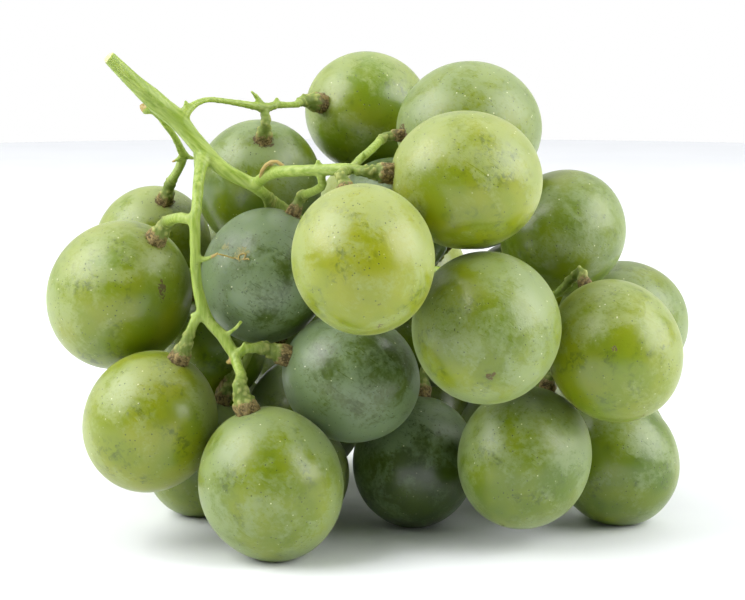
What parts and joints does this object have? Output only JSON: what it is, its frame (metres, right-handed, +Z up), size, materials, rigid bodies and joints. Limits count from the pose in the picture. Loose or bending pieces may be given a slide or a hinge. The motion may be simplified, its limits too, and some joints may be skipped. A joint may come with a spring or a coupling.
{
  "type": "bunch of grapes",
  "caption": "Bunch of green table grapes lying on its side: oval berries on a branching stem with flared caps, for table, kitchen and market scenes.",
  "frame": {"origin": "middle of the bounding box at its base, on the surface that the bunch lies on", "axes": "+Z up from the surface; +X to the right along the bunch's longest side, seen from the side that the main stem lies over; +Y away from that side, to the back"},
  "size_m": [0.1146, 0.1124, 0.0844],
  "materials": {
    "yellow_skin": "ripe yellow-green berry skin, translucent, with a thin whitish bloom that is rubbed off in places",
    "green_skin": "mid-green berry skin, translucent, with a thin patchy bloom and small dark specks",
    "bloomed_skin": "berry skin under a heavy blue-grey waxy bloom, matte",
    "stem": "green herbaceous stem, darker underneath, with brown corky warts on the flared caps"
  },
  "bodies": {
    "root": {"grape_01": "yellow_skin", "grape_02": "green_skin", "grape_03": "yellow_skin", "grape_04": "yellow_skin", "grape_05": "green_skin", "grape_06": "green_skin", "grape_07": "bloomed_skin", "grape_08": "yellow_skin", "grape_09": "bloomed_skin", "grape_10": "yellow_skin", "grape_11": "bloomed_skin", "grape_12": "green_skin", "grape_13": "green_skin", "grape_14": "green_skin", "grape_15": "green_skin", "grape_16": "green_skin", "grape_17": "yellow_skin", "grape_18": "green_skin", "grape_19": "yellow_skin", "grape_20": "bloomed_skin", "grape_21": "yellow_skin", "grape_22": "green_skin", "grape_23": "green_skin", "grape_24": "green_skin", "grape_25": "green_skin", "grape_26": "green_skin", "grape_27": "green_skin", "grape_28": "green_skin", "grape_29": "yellow_skin", "grape_30": "green_skin", "grape_31": "yellow_skin", "grape_32": "green_skin", "grape_33": "green_skin", "grape_34": "green_skin", "grape_35": "yellow_skin", "grape_36": "green_skin", "stem": "stem"}
  },
  "joints": []
}
